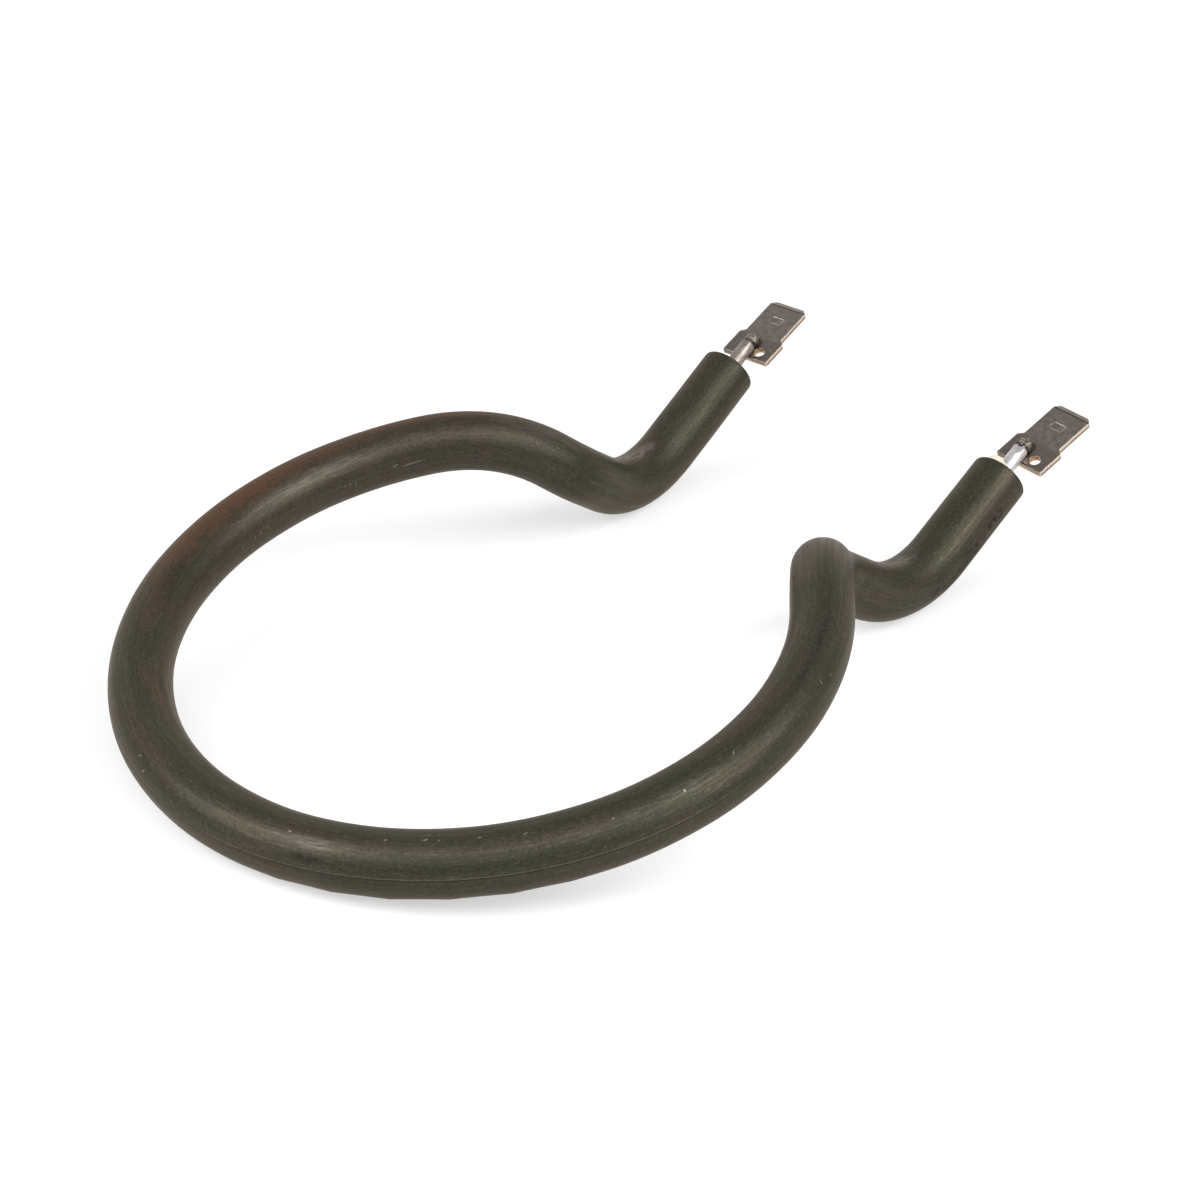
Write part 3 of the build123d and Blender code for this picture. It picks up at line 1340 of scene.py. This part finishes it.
@dataclass(frozen=True)
class Pin:
    """Round terminal pin with its welded, rounded end."""

    radius: float = 1.1
    reach: float = 13.5
    out: float = 7.12
    neck: float = 5.40
    nugget_centre: float = 5.98
    nugget_radius: float = 1.10
    around: int = 48
    lumps: float = 0.16

    def profile(self) -> list[tuple[float, float]]:
        """Stations along the pin and their radii."""
        rows = [
            (-self.reach, 0.0), (-self.reach, self.radius - 0.3), (-self.reach + 0.3, self.radius)
        ]
        rows += [(y, self.radius) for y in np.arange(-self.reach + 1, 3.0, 0.8)]
        for y in np.arange(3.0, self.out, 0.07):
            shoulder = self.radius - 0.35 * max(0.0, (y - self.neck + 0.45) / 0.45) ** 2
            inside = self.nugget_radius**2 - (y - self.nugget_centre) ** 2
            nugget = math.sqrt(inside) if inside > 0 else 0.0
            rows.append((float(y), max(shoulder if y < self.neck else 0.0, nugget)))
        rows.append((self.out, 0.0))
        return rows

    def build(
        self,
        name: str,
        matrix: Matrix,
        end: EndSet,
        finish: bpy.types.Material,
    ) -> bpy.types.Object:
        """Build the pin along its leg.

        Args:
            name: Name of the piece.
            matrix: The leg's frame.
            end: What sets this terminal apart.
            finish: The pin's material.

        Returns:
            The pin's piece.
        """
        angle = np.linspace(0, 2 * np.pi, self.around, endpoint=False)
        rows = self.profile()
        local = []
        for y, radius in rows:
            swell = float(np.clip((y - self.neck + 0.3) / 0.4, 0, 1))
            pressed = float(np.clip((y - 3.6) / 0.9, 0, 1)) * end.press
            for a in angle:
                lump = noise.noise(
                    Vector((math.cos(a) * 1.8, y * 1.9, math.sin(a) * 1.8 + end.seed))
                )
                reach = radius * (1 + self.lumps * swell * (lump - 0.3)) if radius else 0.0
                x, z = reach * math.cos(a), reach * math.sin(a)
                # The welding electrode leaves the pin's top a little flat.
                level = self.radius - pressed
                if z > level:
                    z = level + (z - level) * 0.15
                local.append((x, y, z))
        local = np.array(local)
        turn = np.array(matrix.to_3x3())
        piece = make_piece(
            name,
            local @ turn.T + np.array(matrix.translation),
            [face[::-1] for face in ring_faces(len(rows), self.around)],
            finish,
            (Coordinates.LOCAL, local),
        )
        weld_seams(piece)
        shade_sharp(piece, 50)
        return piece


@dataclass(frozen=True)
class SealBead:
    """Pale bead that closes the tube's end round the pin."""

    radius: float = 3.28
    depth: float = 4.9
    pin_radius: float = 1.12
    around: int = 64
    swell: tuple[tuple[float, float], ...] = (
        (0.08, 0.50),
        (0.10, 0.75),
        (0.16, 0.92),
        (0.28, 1.0),
        (0.55, 1.0),
        (0.70, 0.94),
        (0.85, 0.82),
    )

    def build(
        self,
        name: str,
        matrix: Matrix,
        end: EndSet,
        finish: bpy.types.Material,
    ) -> bpy.types.Object:
        """Build the bead in the tube's end.

        Args:
            name: Name of the piece.
            matrix: The leg's frame.
            end: What sets this terminal apart.
            finish: The bead's material.

        Returns:
            The bead's piece.
        """
        angle = np.linspace(0, 2 * np.pi, self.around, endpoint=False)
        span = self.radius - self.pin_radius
        crown = [(self.radius, 0.0), (self.radius - 0.04, 0.10), (self.radius - 0.15, 0.18)]
        crown += [(self.radius - share * span, level) for share, level in self.swell]
        crown += [(self.pin_radius, 0.70)]
        rows = [(self.pin_radius, None), (self.radius, None)] + crown
        local = []
        for radius, share in rows:
            for a in angle:
                lean = max(0.0, math.cos(a - math.radians(end.bead_side))) ** 5
                height = end.bead_height + end.bead_lean * lean
                rough = noise.noise(Vector((math.cos(a) * radius, end.seed, math.sin(a) * radius)))
                level = -self.depth if share is None else share * height + 0.05 * rough
                local.append((radius * math.cos(a), level, radius * math.sin(a)))
        local = np.array(local)
        turn = np.array(matrix.to_3x3())
        piece = make_piece(
            name,
            local @ turn.T + np.array(matrix.translation),
            ring_faces(len(rows), self.around, closed=True),
            finish,
            (Coordinates.LOCAL, local),
        )
        shade_sharp(piece, 55)
        return piece


def weld_seams(piece: bpy.types.Object) -> None:
    """Merge points that lie together, such as a ring of no radius.

    Args:
        piece: The piece to mend.
    """
    model = bmesh.new()
    model.from_mesh(piece.data)
    bmesh.ops.remove_doubles(model, verts=model.verts, dist=1e-7)
    bmesh.ops.dissolve_degenerate(model, edges=model.edges, dist=1e-7)
    bmesh.ops.recalc_face_normals(model, faces=model.faces)
    model.to_mesh(piece.data)
    model.free()


@dataclass(frozen=True)
class Terminal:
    """One end's seal, pin and tab."""

    side: Side
    end: EndSet

    def build(
        self,
        stations: Stations,
        steel: bpy.types.Material,
        cement: bpy.types.Material,
        plate: bpy.types.Material,
    ) -> None:
        """Build the three pieces, each in its node's place.

        Args:
            stations: The route as it lies.
            steel: The pin's material.
            cement: The seal's material.
            plate: The tab's material.
        """
        label = self.side.label
        matrix = leg_matrix(stations, self.side)
        bead = SealBead().build(f"{label}_dressed_seal", matrix, self.end, cement)
        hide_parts(f"{label}_end_seal")
        pin = Pin().build(f"{label}_dressed_pin", matrix, self.end, steel)
        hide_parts(f"{label}_terminal_pin")
        tab = BladeTab().build(f"{label}_dressed_tab", matrix, self.end, plate)
        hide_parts(f"{label}_blade_tab")


# ---------------------------------------------------------------- plain finishes
@dataclass(frozen=True)
class PlatedTab:
    """Dull warm-grey plating on the faces, bright brassy metal where the die cut, with painted
    highlights on the dimple, the tip's bevel, the front edge and the eye's wall, and painted shade
    in the tip's crease and on the front edge left of the pin.
    """

    face: Colour = (0.33, 0.285, 0.255)
    worn: Colour = (0.42, 0.37, 0.33)
    stain: Colour = (0.075, 0.050, 0.035)
    cut: Colour = (0.58, 0.475, 0.37)
    eye_wall_highlight: Colour = (0.36, 0.215, 0.105)
    fracture_and_shade: Colour = (0.20, 0.145, 0.105)
    dimple_size: tuple[float, float] = (2.2, 1.4)
    dimple_along: float = 8.2
    weld_reach: float = 1.32

    def make(self) -> bpy.types.Material:
        """Build the material from the tab's local coordinates."""
        bench = Bench("tab_plate")
        place = bench.attribute(Coordinates.LOCAL)
        across, along, height = bench.split(place)
        mottle = bench.grain(bench.scaled(place, (1.3, 1.0, 1.3)), 1.0, 5.0, 0.65)
        grit = bench.grain(bench.scaled(place, (11.0, 9.0, 11.0)), 1.0, 4.0, 0.7)
        lines = bench.grain(bench.scaled(place, (9.0, 0.5, 9.0)), 1.0, 3.0, 0.6)

        depth = bench.math("MULTIPLY", height, -1.0)
        trough = bench.span(along, 4.6, 3.9)
        beside = bench.math("SUBTRACT", bench.math("ABSOLUTE", across), self.dimple_size[0] / 2)
        beyond = bench.math(
            "SUBTRACT",
            bench.math("ABSOLUTE", bench.math("SUBTRACT", along, self.dimple_along)),
            self.dimple_size[1] / 2,
        )
        frame = bench.math("MAXIMUM", beside, beyond)
        dent = bench.span(frame, 0.03, -0.05)
        wall = bench.product(dent, bench.span(frame, -0.20, -0.12))
        colour = bench.mix(bench.span(mottle, 0.35, 0.65), self.face, self.worn)
        colour = bench.mix(bench.span(grit, 0.52, 0.75, 0.0, 0.35), colour, self.stain)
        # The base along the pin's trough is darkened in patches.
        trough_darkening = bench.product(trough, bench.span(mottle, 0.4, 0.6), 0.45)
        colour = bench.mix(trough_darkening, colour, self.stain)
        # Painted highlight: the dimple, and its walls most, lifted towards the bright cut colour.
        colour = bench.mix(
            bench.total(bench.product(dent, 0.05), bench.product(wall, 0.06)), colour, self.cut
        )
        # Painted shade in the crease where the tip's bevel starts, and a painted highlight on the
        # bevel beyond it.
        crease_shade = bench.product(bench.span(along, 10.90, 11.00), bench.span(along, 11.22, 11.10))
        colour = bench.mix(bench.product(crease_shade, 0.80), colour, self.stain)
        colour = bench.mix(bench.span(along, 11.12, 11.26, 0.0, 0.10), colour, self.cut)
        weld = self.ring(bench, grit)
        colour = bench.mix(bench.product(weld, 0.8), colour, self.stain)
        edge = self.kept(bench, "cut_edge")
        torn = bench.span(bench.total(depth, bench.span(mottle, 0.3, 0.7, -0.05, 0.05)), 0.36, 0.56)
        # The fracture band is left off the front edge, which then shows all bright cut colour as a
        # painted highlight.
        torn = bench.product(
            torn, bench.span(along, 0.15, 0.35), bench.span(self.kept(bench, "eye_off"), 1.0, 1.2)
        )
        # Painted shade: the front edge left of the pin is darkened with the fracture colour.
        shaded = bench.product(bench.span(along, 0.35, 0.15), bench.span(across, -0.6, -1.2))
        rim = bench.mix(bench.math("MAXIMUM", torn, shaded), self.cut, self.fracture_and_shade)
        # Painted highlight: the eye's wall on the side towards the pin is coloured a lit gold.
        bore = bench.product(
            bench.span(self.kept(bench, "eye_off"), 1.15, 1.0), bench.span(across, 2.25, 1.55)
        )
        rim = bench.mix(bore, rim, self.eye_wall_highlight)
        colour = bench.mix(edge, colour, rim)
        rough = bench.total(
            0.36,
            bench.span(lines, 0.3, 0.7, -0.05, 0.05),
            bench.span(mottle, 0.3, 0.7, -0.04, 0.05),
            bench.product(edge, bench.span(torn, 0.0, 1.0, -0.10, 0.15)),
            bench.product(weld, 0.12),
        )
        bench.bump(bench.total(bench.product(grit, 0.5), bench.product(lines, 0.5)), 0.000012)
        bench.set(base_color=colour, metallic=1.0, roughness=rough)
        return bench.material

    def ring(self, bench: Bench, ragged: bpy.types.NodeSocket) -> bpy.types.NodeSocket:
        """Mask of the burnt ring round the weld.

        Args:
            bench: The tree in hand.
            ragged: Noise that breaks up the ring.

        Returns:
            The mask's socket.
        """
        reach = bench.total(self.kept(bench, "weld_off"), bench.span(ragged, 0.3, 0.7, -0.12, 0.12))
        return bench.span(reach, self.weld_reach, self.weld_reach - 0.2)

    def kept(self, bench: Bench, name: str) -> bpy.types.NodeSocket:
        """A number kept on the mesh under a name.

        Args:
            bench: The tree in hand.
            name: The attribute's name.

        Returns:
            The number's socket.
        """
        node = bench.tree.nodes.new("ShaderNodeAttribute")
        node.attribute_type = "GEOMETRY"
        node.attribute_name = name
        return node.outputs["Fac"]


@dataclass(frozen=True)
class PinSteel:
    """Bright drawn pin, tarnished and burnt dark where it was welded."""

    name: str
    bright: Colour
    dull: Colour
    burn: Colour = (0.31, 0.27, 0.235)
    soot: Colour = (0.040, 0.032, 0.028)
    neck: float = 5.40
    roughness: float = 0.46

    def make(self) -> bpy.types.Material:
        """Build the material from the pin's local coordinates."""
        bench = Bench(self.name)
        place = bench.attribute(Coordinates.LOCAL)
        _, along, _ = bench.split(place)
        smears = bench.grain(bench.scaled(place, (2.2, 0.45, 2.2)), 1.0, 4.0, 0.65)
        grit = bench.grain(bench.scaled(place, (5.0, 4.0, 5.0)), 1.0, 4.0, 0.7)
        edge = bench.total(along, bench.span(smears, 0.3, 0.7, -0.25, 0.25))
        burn = bench.span(edge, self.neck - 0.3, self.neck)
        ring = bench.product(burn, bench.span(edge, self.neck + 0.35, self.neck + 0.1))
        flecks = bench.product(burn, bench.span(grit, 0.50, 0.43))
        haze = bench.product(bench.span(along, 3.6, 5.6), bench.span(grit, 0.5, 0.62), 0.45)
        colour = bench.mix(bench.span(smears, 0.46, 0.56), self.bright, self.dull)
        colour = bench.mix(bench.span(grit, 0.58, 0.68, 0.0, 0.6), colour, self.burn)
        colour = bench.mix(haze, colour, self.burn)
        colour = bench.mix(burn, colour, self.burn)
        colour = bench.mix(bench.math("MAXIMUM", ring, flecks), colour, self.soot)
        rough = bench.total(
            self.roughness, bench.span(smears, 0.3, 0.7, -0.06, 0.08), bench.product(burn, 0.06)
        )
        height = bench.total(
            bench.product(smears, 0.5), bench.product(grit, bench.total(0.2, burn))
        )
        bench.bump(height, 0.00006)
        bench.set(base_color=colour, metallic=0.85, roughness=rough)
        return bench.material


@dataclass(frozen=True)
class PlainMetal:
    """Drawn or rolled metal with a mottled tone and fine lines."""

    name: str
    base: Colour
    shade: Colour
    roughness: float
    line_scale: Colour
    depth: float = 0.00001
    metallic: float = 1.0

    def make(self) -> bpy.types.Material:
        """Build the material from the object's own coordinates."""
        bench = Bench(self.name)
        place = bench.object_place()
        mottle = bench.grain(bench.scaled(place, (900.0, 900.0, 900.0)), 1.0, 4.0, 0.6)
        lines = bench.grain(bench.scaled(place, self.line_scale), 1.0, 3.0, 0.6)
        colour = bench.mix(bench.span(mottle, 0.3, 0.7), self.base, self.shade)
        rough = bench.total(self.roughness, bench.span(lines, 0.3, 0.7, -0.06, 0.06))
        bench.bump(bench.total(mottle, lines), self.depth)
        bench.set(base_color=colour, metallic=self.metallic, roughness=rough)
        return bench.material


@dataclass(frozen=True)
class Cement:
    """Pressed or poured mineral: pale, matt and granular."""

    name: str
    base: Colour
    shade: Colour
    grains: float = 2600.0

    def make(self) -> bpy.types.Material:
        """Build the material from the object's own coordinates."""
        bench = Bench(self.name)
        place = bench.object_place()
        grain = bench.grain(place, self.grains, 4.0, 0.7)
        stain = bench.grain(place, self.grains / 8, 2.0, 0.5)
        colour = bench.mix(bench.span(stain, 0.35, 0.7), self.base, self.shade)
        bench.bump(grain, 0.00006)
        bench.set(base_color=colour, roughness=0.8)
        return bench.material


# ---------------------------------------------------------------- the studio
@dataclass(frozen=True)
class Lamp:
    """A soft box by its place, aim, size and power."""

    name: str
    place: Colour
    aim: Colour
    size: float
    power: float


@dataclass(frozen=True)
class Studio:
    """Pale floor, backdrop, soft boxes and the camera."""

    floor_colour: Colour = (0.50, 0.50, 0.50)
    floor_glow: float = 0.55
    far_glow: float = 0.92
    world_level: float = 0.22
    camera_place: Colour = (0.212029, -0.252741, 0.188950)
    camera_turn: Colour = (61.0594, -1.1207, 40.7814)
    lens: float = 87.54
    lamps: tuple[Lamp, ...] = (
        Lamp("left_box", (-0.33, -0.58, 0.52), (0.0, 0.0, 0.0), 0.62, 5.0),
        Lamp("front_box", (0.29, -0.44, 0.68), (0.0, 0.0, 0.0), 0.60, 2.4),
        Lamp("right_box", (0.64, 0.12, 0.56), (0.0, 0.0, 0.0), 0.70, 6.2),
    )

    def backdrop(self) -> bpy.types.Object:
        """Floor that sweeps up behind the object."""
        half, back, radius, top = 6.0, 4.0, 1.0, 4.0
        profile = [(-6.0, 0.0)]
        profile += [
            (back - radius + radius * math.sin(a), radius - radius * math.cos(a))
            for a in np.linspace(0, math.pi / 2, 13)
        ]
        profile.append((back, top))
        mesh = bpy.data.meshes.new("floor_sweep")
        turn = Matrix.Rotation(math.radians(self.camera_turn[2]), 3, "Z")
        points = [
            tuple(turn @ Vector((x, y, z))) for y, z in profile for x in (-half, half)
        ]
        faces = [(2 * i, 2 * i + 1, 2 * i + 3, 2 * i + 2) for i in range(len(profile) - 1)]
        mesh.from_pydata(points, [], faces)
        mesh.polygons.foreach_set("use_smooth", [True] * len(mesh.polygons))
        mesh.materials.append(self.floor_finish())
        floor = bpy.data.objects.new("floor_sweep", mesh)
        bpy.context.scene.collection.objects.link(floor)
        return floor

    def floor_finish(self) -> bpy.types.Material:
        """Pale paper, lifted to white for what looks at it directly or in a reflection."""
        material = bpy.data.materials.new("floor_paper")
        material.use_nodes = True
        tree = material.node_tree
        tree.nodes.clear()
        paper = tree.nodes.new("ShaderNodeBsdfDiffuse")
        paper.inputs["Color"].default_value = (*self.floor_colour, 1.0)
        place = tree.nodes.new("ShaderNodeNewGeometry")
        away = tree.nodes.new("ShaderNodeVectorMath")
        away.operation = "LENGTH"
        tree.links.new(place.outputs["Position"], away.inputs[0])
        # The lamps stand close, so the paper far from the object needs more of a lift.
        lift = tree.nodes.new("ShaderNodeMapRange")
        lift.interpolation_type = "SMOOTHSTEP"
        for label, value in (
            ("From Min", 0.25),
            ("From Max", 1.6),
            ("To Min", self.floor_glow),
            ("To Max", self.far_glow),
        ):
            lift.inputs[label].default_value = value
        tree.links.new(away.outputs["Value"], lift.inputs["Value"])
        rays = tree.nodes.new("ShaderNodeLightPath")
        looks = [
            rays.outputs[label] for label in (
                "Is Camera Ray", "Is Glossy Ray", "Is Transmission Ray"
            )
        ]
        seen = looks[0]
        for look in looks[1:]:
            either = tree.nodes.new("ShaderNodeMath")
            either.operation = "MAXIMUM"
            tree.links.new(seen, either.inputs[0])
            tree.links.new(look, either.inputs[1])
            seen = either.outputs[0]
        level = tree.nodes.new("ShaderNodeMath")
        level.operation = "MULTIPLY"
        tree.links.new(seen, level.inputs[0])
        tree.links.new(lift.outputs["Result"], level.inputs[1])
        glow = tree.nodes.new("ShaderNodeEmission")
        tree.links.new(level.outputs[0], glow.inputs["Strength"])
        both = tree.nodes.new("ShaderNodeAddShader")
        tree.links.new(paper.outputs[0], both.inputs[0])
        tree.links.new(glow.outputs[0], both.inputs[1])
        output = tree.nodes.new("ShaderNodeOutputMaterial")
        tree.links.new(both.outputs[0], output.inputs["Surface"])
        return material

    def light(self) -> None:
        """Set the world and the soft boxes."""
        world = bpy.data.worlds.new("studio")
        world.use_nodes = True
        ground = world.node_tree.nodes["Background"]
        ground.inputs["Color"].default_value = (1.0, 1.0, 1.0, 1.0)
        ground.inputs["Strength"].default_value = self.world_level
        bpy.context.scene.world = world
        for lamp in self.lamps:
            data = bpy.data.lights.new(lamp.name, "AREA")
            data.shape = "DISK"
            data.size = lamp.size
            data.energy = lamp.power
            holder = bpy.data.objects.new(lamp.name, data)
            holder.location = lamp.place
            aim = Vector(lamp.aim) - Vector(lamp.place)
            holder.rotation_euler = aim.to_track_quat("-Z", "Y").to_euler()
            bpy.context.scene.collection.objects.link(holder)
            LOG.info("%s: %.1f W at %s", lamp.name, lamp.power, lamp.place)

    def camera(self) -> None:
        """Set the camera."""
        data = bpy.data.cameras.new("camera")
        data.lens = self.lens
        data.sensor_width = 36.0
        data.clip_start = 0.01
        holder = bpy.data.objects.new("camera", data)
        holder.location = self.camera_place
        holder.rotation_euler = [math.radians(a) for a in self.camera_turn]
        bpy.context.scene.collection.objects.link(holder)
        bpy.context.scene.camera = holder

    def build(self) -> None:
        """Set the whole studio."""
        self.backdrop()
        self.light()
        self.camera()
        bpy.context.scene.view_settings.view_transform = "Standard"


def dress_node(node: bpy.types.Object, finish: bpy.types.Material) -> None:
    """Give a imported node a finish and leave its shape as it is.

    Args:
        node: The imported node.
        finish: Its material.
    """
    node.data.materials.clear()
    node.data.materials.append(finish)
    LOG.info("%s keeps its shape, finish %s", node.name, finish.name)


def main() -> None:
    """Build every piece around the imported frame."""
    logging.basicConfig(level=logging.INFO, format="%(name)s: %(message)s")
    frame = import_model()

    route = BentRoute()
    stations = route.stations(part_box("sheath_tube"))
    Sheath(route).build(stations, OxidisedSheath().make())

    cement = Cement("seal", (0.80, 0.74, 0.64), (0.66, 0.58, 0.46)).make()
    magnesia = Cement("magnesia", (0.84, 0.83, 0.78), (0.76, 0.74, 0.68)).make()
    wire = PlainMetal(
        "resistance_wire", (0.42, 0.40, 0.38), (0.34, 0.32, 0.30), 0.35, (3000.0, 3000.0, 3000.0)
    ).make()

    nodes = frame["nodes"]
    dress_node(nodes["magnesia_fill"], magnesia)
    dress_node(nodes["resistance_coil"], wire)
    plate = PlatedTab().make()
    # The left pin is coloured darker than the right one.
    Terminal(Side.LEFT, EndSet(shift=0.15, turn=0.5, bead_height=0.22, seed=3.0)).build(
        stations, PinSteel(
            "pin_steel_darker", (0.36, 0.315, 0.29), (0.24, 0.205, 0.185)
        ).make(), cement, plate
    )
    near = EndSet(
        shift=0.5, turn=6.5, bead_height=0.25, bead_lean=1.05, bead_side=98.0, press=0.36, seed=8.0
    )
    Terminal(Side.RIGHT, near).build(
        stations, PinSteel(
            "pin_steel_lighter", (0.72, 0.69, 0.70), (0.52, 0.49, 0.495)
        ).make(), cement, plate
    )

    Studio().build()


if __name__ == "__main__":
    main()
